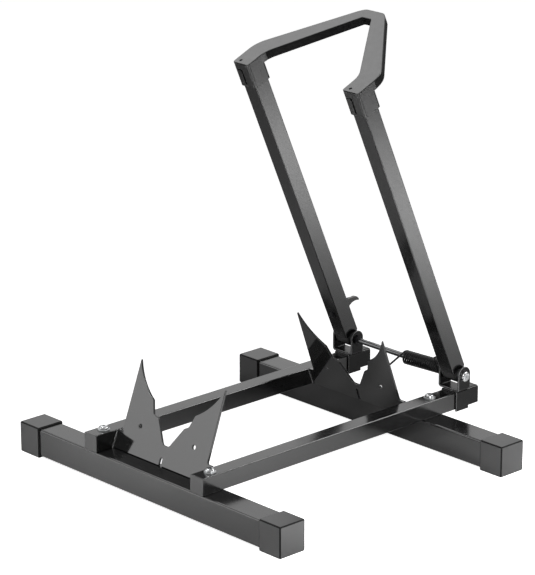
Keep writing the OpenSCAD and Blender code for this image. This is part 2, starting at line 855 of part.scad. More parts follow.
// The arched groove on a socket's front, a little above the socket's lower end
module arch_groove() {
    difference() {
        arch(arch_width, arch_height);
        arch(arch_width - 2 * groove_size, arch_height - groove_size);
    }
}

module arch(width, height) {
    round = width / 3;
    square([width, height - round]);
    translate([round, 0]) square([width - 2 * round, height]);
    for (x = [round, width - round]) translate([x, height - round]) circle(r = round, $fn = 48);
}

// Where the small screws sit in the sockets' roofs
module at_top_screws() {
    for (side = [-1, 1]) on_upright(side) translate([-arch_shift, -tube_size / 3, 0]) children();
}

module handle() {
    color("#1f2022") difference() {
        on_hoop() {
            translate([0, 0, hoop_height - handle_thick]) linear_extrude(handle_thick)
                polygon(handle_outline());
            for (side = [-1, 1]) translate([0, 0, hoop_height - socket_length])
                linear_extrude(socket_length - handle_thick / 2) polygon(socket_outline(side));
        }
        for (side = [-1, 1]) on_upright(side) {
            translate([0, 0, hoop_height - socket_length - overrun])
                linear_extrude(socket_length - socket_roof + overrun)
                    round_rect(tube_size, tube_size, tube_corner / 2);
            translate([-arch_shift - arch_width / 2, groove_size - socket_half,
                       hoop_height - socket_length + arch_clear])
                rotate([90, 0, 0]) linear_extrude(socket_wall) arch_groove();
        }
        at_top_screws() {
            translate([0, 0, hoop_height - 2 * socket_roof])
                cylinder(d = top_screw_size + 2 * slip_gap, h = 3 * socket_roof, $fn = 48);
            translate([0, 0, hoop_height - socket_roof / 2])
                cylinder(d = top_screw_head, h = socket_roof, $fn = 48);
        }
    }
}

module top_plug(side) {
    difference() {
        on_upright(side) translate([0, 0, tube_end]) rotate([180, 0, 0])
            linear_extrude(top_plug_depth)
                round_rect(tube_size - 2 * tube_wall, tube_size - 2 * tube_wall, tube_corner / 2);
        at_top_screws() translate([0, 0, tube_end - top_plug_depth * 2 / 3])
            cylinder(d = top_screw_size, h = top_plug_depth, $fn = 48);
    }
}

module left_top_plug() { color("#232426") top_plug(-1); }

module right_top_plug() { color("#232426") top_plug(1); }

module handle_screws() {
    color("#1b1c1e") at_top_screws() translate([0, 0, hoop_height - socket_roof / 2])
        difference() {
            union() {
                cylinder(d = top_screw_head - 2 * run_gap, h = socket_roof / 4, $fn = 48);
                translate([0, 0, -top_plug_depth / 2])
                    cylinder(d = top_screw_size - 2 * run_gap, h = top_plug_depth / 2 + run_gap, $fn = 48);
            }
            translate([0, 0, -socket_roof / 8])
                cylinder(d = top_screw_size * key_share, h = socket_roof, $fn = 6);
        }
}

// The hook's side view: behind the upright and up along it, from its screw's height
function hook_profile() =
    let (
        root = tube_size / 2,
        top = hook_height * 0.36,
        low = top - hook_height,
        tip = [root + hook_reach, -hook_height * 0.46],
        heel = tip - [hook_thick / 4, hook_thick / 3],
        crest = [root + hook_reach * 0.62, top * 0.28]
    )
    concat(
        [[root, low]],
        bowed([root, low], heel, -0.2),
        [heel, tip],
        bowed(tip, crest, 0.18, 5),
        [crest],
        bowed(crest, [root, top], 0.08, 6),
        [[root, top]]
    );

module hook() {
    color("#17181a") on_upright(-1) difference() {
        translate([-hook_thick / 2, 0, hook_rise]) rotate([90, 0, 90]) linear_extrude(hook_thick)
            polygon(hook_profile());
        translate([0, 0, hook_rise]) rotate([-90, 0, 0])
            cylinder(d = hook_screw_size + 2 * run_gap, h = hook_screw_reach + overrun, $fn = 48);
    }
}

// A screw through the left upright, from its front into the hook
module hook_screw() {
    color("#c9cbce") on_upright(-1) translate([0, -tube_size / 2, hook_rise]) rotate([90, 0, 0])
        round_screw(screw_head_size, screw_head_height, hook_screw_size, tube_size + hook_thick - overrun);
}

// A sleeve that keeps the hook's screw from crushing the upright
module hook_spacer() {
    color("#b9bbbf") on_upright(-1) translate([0, tube_wall - tube_size / 2, hook_rise])
        rotate([-90, 0, 0]) difference() {
            cylinder(d = screw_size * nut_flats_share, h = tube_size - 2 * tube_wall, $fn = 48);
            translate([0, 0, -overrun])
                cylinder(d = hook_screw_size + 2 * run_gap, h = tube_size, $fn = 48);
        }
}

front_beam();
rear_beam();
front_left_cap();
front_right_cap();
rear_left_cap();
rear_right_cap();
left_rail();
right_rail();
left_front_plug();
right_front_plug();
left_rear_plug();
right_rear_plug();
front_cradle();
rear_cradle();
left_saddle();
right_saddle();
left_clevis();
right_clevis();
rail_bolts();
rail_washers();
beam_nuts();
pivot_rod();
left_pivot_screw();
right_pivot_screw();
rod_nuts();
spacer_washers();
torsion_spring();
left_upright();
right_upright();
left_knuckle();
right_knuckle();
left_bush();
right_bush();
handle();
left_top_plug();
right_top_plug();
handle_screws();
hook();
hook_screw();
hook_spacer();
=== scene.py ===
"""Looks of the floor bike rack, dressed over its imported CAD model.

Each sub-assembly is a class that holds its sizes, builds its own meshes and
gives every piece its finish. All lengths are in metres in the rack's frame:
X to the right along the beams, Y to the rear, Z up from the floor.
"""

import logging
import math
from dataclasses import dataclass
from enum import Enum
from functools import cache

import bpy
from mathutils import Matrix, Vector

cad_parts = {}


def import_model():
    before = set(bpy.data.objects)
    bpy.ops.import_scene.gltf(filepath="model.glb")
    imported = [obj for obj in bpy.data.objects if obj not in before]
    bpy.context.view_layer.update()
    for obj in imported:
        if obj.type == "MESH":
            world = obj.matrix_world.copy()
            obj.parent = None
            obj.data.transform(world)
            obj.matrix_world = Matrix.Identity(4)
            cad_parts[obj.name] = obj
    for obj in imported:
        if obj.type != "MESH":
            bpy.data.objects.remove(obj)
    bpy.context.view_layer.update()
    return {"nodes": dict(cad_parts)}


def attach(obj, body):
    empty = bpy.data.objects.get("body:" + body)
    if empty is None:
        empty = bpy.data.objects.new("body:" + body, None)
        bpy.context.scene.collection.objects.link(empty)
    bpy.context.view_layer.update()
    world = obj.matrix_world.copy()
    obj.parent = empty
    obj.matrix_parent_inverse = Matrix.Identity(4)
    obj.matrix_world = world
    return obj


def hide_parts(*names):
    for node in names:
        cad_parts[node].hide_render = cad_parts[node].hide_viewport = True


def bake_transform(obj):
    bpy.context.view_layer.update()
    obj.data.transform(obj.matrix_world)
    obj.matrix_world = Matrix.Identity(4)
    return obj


log = logging.getLogger("bike_rack")

Colour = tuple[float, float, float]
Point = tuple[float, float, float]
Pair = tuple[float, float]


class Slot(Enum):
    """The record's material slots."""

    PAINTED_STEEL = "painted_steel"
    PAINTED_PLATE = "painted_plate"
    MOULDED_PLASTIC = "moulded_plastic"
    CHROME = "chrome"
    ZINC = "zinc"
    BLACK_STEEL = "black_steel"
    BRASS = "brass"


class Body(Enum):
    """The two bodies of the rack."""

    BASE = "base"
    HOOP = "hoop"


# Shader building


class Recipe:
    """A material or shared effect while its nodes are being laid out."""

    def __init__(self, tree: bpy.types.NodeTree) -> None:
        """Starts from an empty node tree.

        Args:
            tree: The node tree to fill.
        """
        self.tree = tree
        tree.nodes.clear()

    def add(self, kind: str, **values: object) -> bpy.types.Node:
        """Adds a node and sets its properties or unlinked sockets.

        Args:
            kind: The node's type name without the ShaderNode prefix.
            values: Properties or input sockets, by name, with _ for a space.

        Returns:
            The new node.
        """
        prefix = "" if kind.startswith("NodeGroup") else "ShaderNode"
        node = self.tree.nodes.new(prefix + kind)
        for key, value in values.items():
            if hasattr(node, key):
                setattr(node, key, value)
            else:
                node.inputs[key.replace("_", " ")].default_value = value
        return node

    def join(self, source: bpy.types.NodeSocket, target: bpy.types.NodeSocket) -> None:
        """Links one socket to another.

        Args:
            source: The output socket.
            target: The input socket.
        """
        self.tree.links.new(source, target)

    def math(self, operation: str, first: object, second: object = 0.0) -> bpy.types.NodeSocket:
        """Adds a Math node.

        Args:
            operation: The node's operation.
            first: A socket or a number.
            second: A socket or a number.

        Returns:
            The node's output.
        """
        node = self.add("Math", operation=operation)
        for place, value in enumerate((first, second)):
            if isinstance(value, bpy.types.NodeSocket):
                self.join(value, node.inputs[place])
            else:
                node.inputs[place].default_value = value
        return node.outputs[0]

    def spread(
        self, value: bpy.types.NodeSocket, low: float, high: float, start: float = 0.0, end: float = 1.0
    ) -> bpy.types.NodeSocket:
        """Maps a value from one range to another, clamped.

        Args:
            value: The socket to map.
            low: The result at start.
            high: The result at end.
            start: Where the mapped range starts.
            end: Where the mapped range ends.

        Returns:
            The mapped value.
        """
        node = self.add("MapRange")
        self.join(value, node.inputs["Value"])
        node.inputs["From Min"].default_value = start
        node.inputs["From Max"].default_value = end
        node.inputs["To Min"].default_value = low
        node.inputs["To Max"].default_value = high
        return node.outputs["Result"]

    def noise(self, where: bpy.types.NodeSocket, scale: float, detail: float) -> bpy.types.NodeSocket:
        """Adds a noise pattern.

        Args:
            where: The coordinates.
            scale: Features per metre.
            detail: Octaves of finer noise.

        Returns:
            The noise's value.
        """
        node = self.add("TexNoise", Scale=scale, Detail=detail)
        self.join(where, node.inputs["Vector"])
        return node.outputs[0]


class Effects:
    """The shader node groups that several finishes share, each built once."""

    @staticmethod
    def _group(
        name: str, inputs: dict[str, float], outputs: tuple[str, ...]
    ) -> tuple[Recipe, bpy.types.Node, bpy.types.Node]:
        """Starts a group with float sockets.

        Args:
            name: The group's name.
            inputs: Each input's name and starting value.
            outputs: The names of the outputs.

        Returns:
            The recipe, the group's input node and its output node.
        """
        tree = bpy.data.node_groups.new(name, "ShaderNodeTree")
        for label, value in inputs.items():
            socket = tree.interface.new_socket(label, in_out="INPUT", socket_type="NodeSocketFloat")
            socket.default_value = value
        for label in outputs:
            tree.interface.new_socket(label, in_out="OUTPUT", socket_type="NodeSocketFloat")
        recipe = Recipe(tree)
        return recipe, recipe.add("NodeGroupInput"), recipe.add("NodeGroupOutput")

    @staticmethod
    @cache
    def orange_peel() -> bpy.types.NodeTree:
        """The soft ripple that a baked powder coat is left with.

        Returns:
            The group, with Ripples and Grit in and Height and Clouds out.
        """
        grit_scale, cloud_scale = 2600.0, 24.0
        ready = {"Ripples": 420.0, "Grit": 0.15}
        r, given, out = Effects._group("orange_peel", ready, ("Height", "Clouds"))
        where = r.add("TexCoord").outputs["Object"]
        ripple = r.add("TexNoise", Detail=1.0, Roughness=0.35)
        r.join(where, ripple.inputs["Vector"])
        r.join(given.outputs["Ripples"], ripple.inputs["Scale"])
        grit = r.noise(where, grit_scale, 2.0)
        fine = r.math("MULTIPLY", grit, given.outputs["Grit"])
        r.join(r.math("ADD", ripple.outputs[0], fine), out.inputs["Height"])
        clouds = r.spread(r.noise(where, cloud_scale, 4.0), 0.0, 1.0, start=0.3, end=0.7)
        r.join(clouds, out.inputs["Clouds"])
        return r.tree

    @staticmethod
    @cache
    def dust() -> bpy.types.NodeTree:
        """A thin film of dust that settles on what faces upwards.

        Returns:
            The group, with Amount in and Mask out.
        """
        patch_scale, speck_scale, film_share = 55.0, 1400.0, 0.6
        r, given, out = Effects._group("dust", {"Amount": 0.3}, ("Mask",))
        geometry = r.add("NewGeometry")
        split = r.add("SeparateXYZ")
        r.join(geometry.outputs["Normal"], split.inputs[0])
        upward = r.spread(split.outputs["Z"], 0.0, 1.0, start=0.55, end=0.98)
        where = r.add("TexCoord").outputs["Object"]
        patches = r.spread(r.noise(where, patch_scale, 6.0), 0.35, 1.0, start=0.35, end=0.7)
        specks = r.spread(r.noise(where, speck_scale, 2.0), 0.0, 1.0, start=0.6, end=0.75)
        speckled = r.math("ADD", film_share, r.math("MULTIPLY", specks, 1.0 - film_share))
        film = r.math("MULTIPLY", patches, speckled)
        lying = r.math("MULTIPLY", upward, film)
        r.join(r.math("MULTIPLY", lying, given.outputs["Amount"]), out.inputs["Mask"])
        return r.tree

    @staticmethod
    @cache
    def mould_grain() -> bpy.types.NodeTree:
        """The fine spark-eroded grain of a moulded plastic face.

        Returns:
            The group, with Grains in and Height and Mottle out.
        """
        soft_scale, mottle_scale, softness = 900.0, 130.0, 0.6
        r, given, out = Effects._group("mould_grain", {"Grains": 1500.0}, ("Height", "Mottle"))
        where = r.add("TexCoord").outputs["Object"]
        cells = r.add("TexVoronoi", feature="SMOOTH_F1")
        r.join(where, cells.inputs["Vector"])
        r.join(given.outputs["Grains"], cells.inputs["Scale"])
        cells.inputs["Smoothness"].default_value = softness
        soft = r.math("MULTIPLY", r.noise(where, soft_scale, 4.0), softness)
        r.join(r.math("ADD", cells.outputs["Distance"], soft), out.inputs["Height"])
        mottle = r.spread(r.noise(where, mottle_scale, 5.0), 0.0, 1.0, start=0.3, end=0.7)
        r.join(mottle, out.inputs["Mottle"])
        return r.tree

    @staticmethod
    @cache
    def scratches() -> bpy.types.NodeTree:
        """Hairline marks that cross each other at random.

        Returns:
            The group, with Amount in and Mask out.
        """
        across = 1800.0
        r, given, out = Effects._group("scratches", {"Amount": 0.5}, ("Mask",))
        where = r.add("TexCoord").outputs["Object"]
        lines: list[bpy.types.NodeSocket] = []
        for turn, stretch in ((0.4, 30.0), (1.9, 42.0), (2.6, 24.0)):
            place = r.add("Mapping")
            place.inputs["Rotation"].default_value = (turn, turn * 0.7, turn * 1.3)
            place.inputs["Scale"].default_value = (stretch, across, across)
            r.join(where, place.inputs["Vector"])
            hair = r.add("TexNoise", Scale=1.0, Detail=1.0)
            r.join(place.outputs[0], hair.inputs["Vector"])
            lines.append(r.spread(hair.outputs[0], 0.0, 1.0, start=0.62, end=0.7))
        both = r.math("MAXIMUM", r.math("MAXIMUM", lines[0], lines[1]), lines[2])
        r.join(r.math("MULTIPLY", both, given.outputs["Amount"]), out.inputs["Mask"])
        return r.tree


@dataclass(frozen=True)
class Finish:
    """What every finish has: a name, the colour of the bare surface and its roughness."""

    name: str
    colour: Colour
    roughness: float

    def material(self) -> bpy.types.Material:
        """Finds this finish's material, or builds it on first use.

        Returns:
            The material.
        """
        found = bpy.data.materials.get(self.name)
        if found:
            return found
        made = bpy.data.materials.new(self.name)
        made.use_nodes = True
        recipe = Recipe(made.node_tree)
        shader = recipe.add("BsdfPrincipled")
        out = recipe.add("OutputMaterial")
        recipe.join(shader.outputs[0], out.inputs["Surface"])
        self.lay(recipe, shader)
        made.diffuse_color = (*self.colour, 1.0)
        return made

    def lay(self, r: Recipe, shader: bpy.types.Node) -> None:
        """Lays the finish's nodes.

        Args:
            r: The recipe of the material.
            shader: Its Principled BSDF.
        """
        shader.inputs["Base Color"].default_value = (*self.colour, 1.0)
        shader.inputs["Roughness"].default_value = self.roughness

    def effect(self, r: Recipe, group: bpy.types.NodeTree, **values: float) -> bpy.types.Node:
        """Places a shared effect in a material.

        Args:
            r: The recipe of the material.
            group: The effect's node group.
            values: The effect's inputs.

        Returns:
            The group node.
        """
        node = r.add("Group")
        node.node_tree = group
        for key, value in values.items():
            node.inputs[key].default_value = value
        return node

    def tint(
        self, r: Recipe, mask: bpy.types.NodeSocket, low: Colour, high: Colour
    ) -> bpy.types.NodeSocket:
        """Mixes two colours by a mask.

        Args:
            r: The recipe of the material.
            mask: From 0 to 1.
            low: The colour at 0.
            high: The colour at 1.

        Returns:
            The mixed colour.
        """
        ramp = r.add("ValToRGB")
        ramp.color_ramp.elements[0].color = (*low, 1.0)
        ramp.color_ramp.elements[1].color = (*high, 1.0)
        r.join(mask, ramp.inputs[0])
        return ramp.outputs[0]

    def relief(self, r: Recipe, height: bpy.types.NodeSocket, depth: float, shader: bpy.types.Node) -> None:
        """Raises a bump from a height.

        Args:
            r: The recipe of the material.
            height: The pattern.
            depth: Its depth in metres.
            shader: The shader that takes the normal.
        """
        bump = r.add("Bump", Strength=1.0, Distance=depth)
        r.join(height, bump.inputs["Height"])
        r.join(bump.outputs[0], shader.inputs["Normal"])


@dataclass(frozen=True)
class Coloured(Finish):
    """A paint or plastic whose colour varies a little and takes dust."""

    specular: float = 0.5
    index: float = 1.5
    dust: float = 0.1

    def cover(
        self, r: Recipe, shader: bpy.types.Node, mask: bpy.types.NodeSocket, shades: Pair, film: Colour
    ) -> bpy.types.NodeSocket:
        """Lays the colour with its dust and sets the shader's plain values.

        Args:
            r: The recipe of the material.
            shader: Its Principled BSDF.
            mask: Where the colour is darker or lighter, from 0 to 1.
            shades: The shares of the colour at 0 and at 1.
            film: The dust's colour.

        Returns:
            The dust's mask.
        """
        dust = self.effect(r, Effects.dust(), Amount=self.dust).outputs["Mask"]
        darker, lighter = (tuple(c * share for c in self.colour) for share in shades)
        mix = r.add("Mix", data_type="RGBA")
        r.join(dust, mix.inputs["Factor"])
        r.join(self.tint(r, mask, darker, lighter), mix.inputs["A"])
        mix.inputs["B"].default_value = (*film, 1.0)
        r.join(mix.outputs["Result"], shader.inputs["Base Color"])
        shader.inputs["Specular IOR Level"].default_value = self.specular
        shader.inputs["IOR"].default_value = self.index
        return dust


@dataclass(frozen=True)
class PowderCoat(Coloured):
    """Gloss black powder coat on steel."""

    ripple: float = 0.00001
    ripples: float = 300.0
    cloud: float = 0.04
    dulled: float = 0.3

    def lay(self, r: Recipe, shader: bpy.types.Node) -> None:
        """Lays a dark coat with orange peel, cloudy gloss and a little dust.

        Args:
            r: The recipe of the material.
            shader: Its Principled BSDF.
        """
        peel = self.effect(r, Effects.orange_peel(), Ripples=self.ripples)
        clouds = peel.outputs["Clouds"]
        dust = self.cover(r, shader, clouds, (0.8, 1.25), (0.16, 0.155, 0.15))
        gloss = r.spread(clouds, self.roughness, self.roughness + self.cloud)
        r.join(r.math("ADD", gloss, r.math("MULTIPLY", dust, self.dulled)), shader.inputs["Roughness"])
        self.relief(r, peel.outputs["Height"], self.ripple, shader)


@dataclass(frozen=True)
class MouldedPlastic(Coloured):
    """Satin black moulding with a fine grain."""

    grains: float = 1500.0
    depth: float = 0.00002
    uneven: float = 0.02

    def lay(self, r: Recipe, shader: bpy.types.Node) -> None:
        """Lays a grained, slightly mottled satin plastic.

        Args:
            r: The recipe of the material.
            shader: Its Principled BSDF.
        """
        grain = self.effect(r, Effects.mould_grain(), Grains=self.grains)
        mottle = grain.outputs["Mottle"]
        self.cover(r, shader, mottle, (0.92, 1.1), (0.2, 0.19, 0.18))
        gloss = r.spread(mottle, self.roughness - self.uneven, self.roughness + self.uneven)
        r.join(gloss, shader.inputs["Roughness"])
        self.relief(r, grain.outputs["Height"], self.depth, shader)


@dataclass(frozen=True)
class BareMetal(Finish):
    """Plated, blackened or turned metal."""

    metallic: float = 1.0
    speckle: float = 0.06
    scratched: float = 0.4
    scratch_gloss: float = 0.18
    patches: float = 260.0
    darkest: float = 0.86
    depth: float = 0.000004

    def lay(self, r: Recipe, shader: bpy.types.Node) -> None:
        """Lays a metal with hairlines and uneven gloss.

        Args:
            r: The recipe of the material.
            shader: Its Principled BSDF.
        """
        where = r.add("TexCoord").outputs["Object"]
        marks = self.effect(r, Effects.scratches(), Amount=self.scratched)
        uneven = r.spread(r.noise(where, self.patches, 5.0), 0.0, 1.0, start=0.3, end=0.7)
        darker = tuple(c * self.darkest for c in self.colour)
        r.join(self.tint(r, uneven, darker, self.colour), shader.inputs["Base Color"])
        gloss = r.spread(uneven, self.roughness, self.roughness + self.speckle)
        dulled = r.math("MULTIPLY", marks.outputs["Mask"], self.scratch_gloss)
        r.join(r.math("ADD", gloss, dulled), shader.inputs["Roughness"])
        shader.inputs["Metallic"].default_value = self.metallic
        self.relief(r, r.math("SUBTRACT", uneven, marks.outputs["Mask"]), self.depth, shader)


class Palette(Enum):
    """The rack's finishes."""

    TUBE_PAINT = PowderCoat("tube_paint", (0.01, 0.0101, 0.0104), 0.14, specular=1.0, index=1.6, dust=0.03)
    PLATE_PAINT = PowderCoat(
        "plate_paint", (0.01, 0.0101, 0.0104), 0.07, specular=1.0, index=1.6, dust=0.03, ripple=0.000004
    )
    HINGE_PAINT = PowderCoat("hinge_paint", (0.008, 0.0081, 0.0083), 0.22, specular=0.4, dust=0.05)
    # Light grey for the eased rims of the black hinge sheets: a painted highlight.
    EDGE_PAINT = PowderCoat("painted_highlight_edge", (0.4, 0.402, 0.406), 0.3, specular=0.9, dust=0.02)
    WELD_PAINT = PowderCoat("weld_paint", (0.012, 0.0121, 0.0124), 0.12, specular=1.0, index=1.8, dust=0.02)
    HANDLE_PLASTIC = MouldedPlastic(
        "handle_plastic", (0.022, 0.0223, 0.0226), 0.3, specular=1.0, index=1.6, dust=0.04
    )
    # A darker, duller plastic for cap rims and the handle's walls and grooves: painted shade.
    WALL_PLASTIC = MouldedPlastic("painted_shade_plastic", (0.006, 0.0061, 0.0062), 0.45, specular=0.2, dust=0.02)
    CAP_PLASTIC = MouldedPlastic(
        "cap_plastic", (0.02, 0.0203, 0.0207), 0.3, specular=1.0, index=1.6, dust=0.04, grains=900.0
    )
    ROD_STEEL = BareMetal("rod_steel", (0.22, 0.222, 0.226), 0.2, metallic=0.7)
    CHROME = BareMetal("chrome", (0.8, 0.81, 0.82), 0.07)
    ZINC = BareMetal("zinc", (0.62, 0.63, 0.65), 0.28)
    BLACK_STEEL = BareMetal("black_steel", (0.035, 0.035, 0.037), 0.22, metallic=0.4)
    BRASS = BareMetal("brass", (0.66, 0.47, 0.2), 0.25)
    SPRING_WIRE = BareMetal("spring_wire", (0.05, 0.05, 0.051), 0.18, metallic=0.5, scratched=0.2)

    @property
    def material(self) -> bpy.types.Material:
        """The finish's material."""
        return self.value.material()


# Modelling by operators


class Bench:
    """Where pieces are modelled by hand, one at a time."""

    @staticmethod
    def clear() -> None:
        """Leaves object mode with nothing selected."""
        if bpy.context.object and bpy.context.object.mode != "OBJECT":
            bpy.ops.object.mode_set(mode="OBJECT")
        bpy.ops.object.select_all(action="DESELECT")

    @staticmethod
    def take(piece: bpy.types.Object) -> None:
        """Selects one object alone and makes it active.

        Args:
            piece: The object to work on.
        """
        Bench.clear()
        piece.select_set(True)
        bpy.context.view_layer.objects.active = piece

    @staticmethod
    def settle(piece: bpy.types.Object) -> None:
        """Moves an object's place into its mesh.

        Args:
            piece: The object to settle.
        """
        Bench.take(piece)
        bpy.ops.object.transform_apply(location=True, rotation=True, scale=True)

    @staticmethod
    def finish_modifiers(piece: bpy.types.Object) -> None:
        """Applies every modifier in order.

        Args:
            piece: The object to finish.
        """
        Bench.take(piece)
        for modifier in list(piece.modifiers):
            bpy.ops.object.modifier_apply(modifier=modifier.name)

    @staticmethod
    def outward(piece: bpy.types.Object) -> None:
        """Merges doubles and turns all faces outwards.

        Args:
            piece: The object to mend.
        """
        Bench.take(piece)
        bpy.ops.object.mode_set(mode="EDIT")
        bpy.ops.mesh.select_all(action="SELECT")
        bpy.ops.mesh.remove_doubles(threshold=0.000002)
        bpy.ops.mesh.normals_make_consistent(inside=False)
        bpy.ops.object.mode_set(mode="OBJECT")

    @staticmethod
    def smooth(piece: bpy.types.Object, angle: float = 30.0) -> None:
        """Shades smooth where faces meet under an angle.

        Args:
            piece: The object to shade.
            angle: The angle in degrees.
        """
        Bench.take(piece)
        bpy.ops.object.shade_smooth_by_angle(angle=math.radians(angle))

    @staticmethod
    def dress(piece: bpy.types.Object, finish: Palette, edges: Palette | None = None) -> None:
        """Gives a piece its finish, and another to its marked faces, such as eased edges: painted highlight
        on hinge rims, painted shade on caps and the handle.

        Args:
            piece: The piece.
            finish: Its finish.
            edges: The finish of the marked faces, if it is another: painted highlight on hinge rims,
                painted shade on caps and the handle.
        """
        marks = [face.material_index if edges else 0 for face in piece.data.polygons]
        piece.data.materials.clear()
        piece.data.materials.append(finish.material)
        if edges:
            piece.data.materials.append(edges.material)
        piece.data.polygons.foreach_set("material_index", marks)


@dataclass
class Part:
    """What every sub-assembly shares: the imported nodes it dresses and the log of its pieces."""

    nodes: dict[str, bpy.types.Object]

    def report(self, piece: bpy.types.Object, finish: Palette) -> None:
        """Reports a piece through logging.

        Args:
            piece: The piece.
            finish: Its finish.
        """
        owner, faces = type(self).__name__, len(piece.data.polygons)
        log.info("%s: %s in %s, %d faces", owner, piece.name, finish.value.name, faces)

    def keep(self, name: str, finish: Palette) -> None:
        """Keeps a CAD node's shape and dresses it.

        Args:
            name: The node's name.
            finish: Its finish.
        """
        node = self.nodes[name]
        if node.data.materials:
            for place in range(len(node.data.materials)):
                node.data.materials[place] = finish.material
        else:
            node.data.materials.append(finish.material)
        self.report(node, finish)

    def place(
        self, piece: bpy.types.Object, body: Body, slot: Slot, finish: Palette, *replaced: str,
        edges: Palette | None = None,
    ) -> None:
        """Dresses a new piece and lets it ride on its body.

        Args:
            piece: The new piece.
            body: The body it rides on.
            slot: The record's slot for the piece; not used.
            finish: Its finish.
            replaced: The CAD nodes it stands for.
            edges: The finish of its marked faces, if it is another: painted highlight on hinge rims,
                painted shade on caps and the handle.
        """
        Bench.dress(piece, finish, edges)
        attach(piece, body.value)
        if replaced:
            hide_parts(*replaced)
        self.report(piece, finish)

    def crisp(self, middle: Vector) -> bool:
        """Tells whether an edge stays crisp, by its middle. By default none does."""
        return False

    def sharpen(self, piece: bpy.types.Object) -> None:
        """Marks further edges of an eased piece sharp. By default none."""

    def mark_faces(self, piece: bpy.types.Object) -> None:
        """Marks the faces that take the second finish. By default those that the easing made."""

    def eased(self, name: str, width: float, segments: int = 2, angle: float = 40.0) -> bpy.types.Object:
        """Copies a CAD node and eases its sharp edges, as paint and tooling do.

        Args:
            name: The node's name.
            width: The width of the eased edge.
            segments: Facets across it.
            angle: Edges sharper than this are eased.

        Returns:
            The new piece.
        """
        merged, flat_angle, smooth_angle, by_area = 0.00001, 0.6, 50.0, 100
        source = self.nodes[name]
        piece = bpy.data.objects.new(name + "_eased", source.data.copy())
        bpy.context.scene.collection.objects.link(piece)
        Bench.take(piece)
        bpy.ops.object.mode_set(mode="EDIT")
        bpy.ops.mesh.select_all(action="SELECT")
        bpy.ops.mesh.remove_doubles(threshold=merged)
        bpy.ops.mesh.dissolve_limited(angle_limit=math.radians(flat_angle), use_dissolve_boundaries=False)
        bpy.ops.object.mode_set(mode="OBJECT")
        self.mark_edges(piece, math.radians(angle))
        piece.data.materials.append(None)
        bevel = piece.modifiers.new("ease", "BEVEL")
        # The eased faces take the second slot, where hinge rims get a painted highlight and caps and the
        # handle a painted shade.
        bevel.material = 1
        bevel.width = width
        bevel.segments = segments
        bevel.limit_method = "WEIGHT"
        bevel.use_clamp_overlap = False
        Bench.finish_modifiers(piece)
        Bench.smooth(piece, smooth_angle)
        self.sharpen(piece)
        self.mark_faces(piece)
        flat = piece.modifiers.new("flat_faces", "WEIGHTED_NORMAL")
        flat.keep_sharp = True
        flat.weight = by_area
        Bench.finish_modifiers(piece)
        return piece

    def mark_edges(self, piece: bpy.types.Object, angle: float) -> None:
        """Marks the edges to ease: all that are sharp, but for those that stay crisp.

        Args:
            piece: The piece.
            angle: Edges sharper than this are marked, in radians.
        """
        mesh = piece.data
        faces: dict[tuple[int, int], list[int]] = {}
        for face in mesh.polygons:
            for key in face.edge_keys:
                faces.setdefault(key, []).append(face.index)
        weight = mesh.attributes.new("bevel_weight_edge", "FLOAT", "EDGE")
        for edge in mesh.edges:
            beside = faces.get(edge.key, [])
            if len(beside) != 2:
                continue
            first, second = (mesh.polygons[index].normal for index in beside)
            middle = (mesh.vertices[edge.vertices[0]].co + mesh.vertices[edge.vertices[1]].co) / 2
            if first.angle(second, 0.0) > angle and not self.crisp(middle):
                weight.data[edge.index].value = 1.0


@dataclass
class WeldSeam:
    """A short weld: overlapping drops of metal along a line."""

    name: str
    start: Point
    end: Point
    width: float = 0.003
    rise: float = 0.0012
    drops: int = 7
    narrow: float = 0.9
    swelling: float = 0.12
    rhythm: float = 2.4

    def build(self) -> bpy.types.Object:
        """Models one drop and copies it along the seam.

        Returns:
            The seam.
        """
        first = Vector(self.start)
        pitch = (Vector(self.end) - first) / max(1, self.drops - 1)
        Bench.clear()
        bpy.ops.mesh.primitive_uv_sphere_add(
            segments=14, ring_count=8, radius=self.width / 2, location=(0.0, 0.0, 0.0)
        )
        seam = bpy.context.object
        seam.name = self.name
        bpy.ops.object.mode_set(mode="EDIT")
        bpy.ops.mesh.select_all(action="SELECT")
        bpy.ops.transform.resize(value=(self.narrow, 1.0, 2.0 * self.rise / self.width))
        bpy.ops.transform.translate(value=first)
        for count in range(1, self.drops):
            bpy.ops.mesh.duplicate()
            swell = 1.0 + self.swelling * math.sin(count * self.rhythm)
            bpy.ops.transform.translate(value=pitch)
            place = first + pitch * count
            bpy.ops.transform.resize(value=(swell,) * 3, center_override=place)
            bpy.ops.transform.resize(value=(1 / swell if count % 2 else 1.0,) * 3, center_override=place)
        bpy.ops.object.mode_set(mode="OBJECT")
        Bench.settle(seam)
        Bench.smooth(seam, 60.0)
        return seam


@dataclass
class BaseFrame(Part):
    """Beams, end caps, rails, plugs and the bolts that join them."""

    edge: float = 0.0014
    flat_share: float = 0.99

    def mark_faces(self, piece: bpy.types.Object) -> None:
        """Marks the rounded edges of a cap, which take a darker, duller plastic as painted shade.

        Args:
            piece: The piece.
        """
        for face in piece.data.polygons:
            face.material_index = int(max(abs(share) for share in face.normal) < self.flat_share)

    def build(self) -> None:
        """Dresses the base."""
        for name in ("front_beam", "rear_beam", "left_rail", "right_rail"):
            self.keep(name, Palette.TUBE_PAINT)
        for name in ("front_left_cap", "front_right_cap", "rear_left_cap", "rear_right_cap"):
            cap = self.eased(name, self.edge, 3)
            # The caps' rounded edges take the darker plastic: painted shade.
            self.place(
                cap, Body.BASE, Slot.MOULDED_PLASTIC, Palette.CAP_PLASTIC, name, edges=Palette.WALL_PLASTIC
            )
        for name in ("left_front_plug", "right_front_plug", "left_rear_plug", "right_rear_plug"):
            self.keep(name, Palette.CAP_PLASTIC)
        self.keep("rail_bolts", Palette.CHROME)
        self.keep("rail_washers", Palette.ZINC)
        self.keep("beam_nuts", Palette.ZINC)


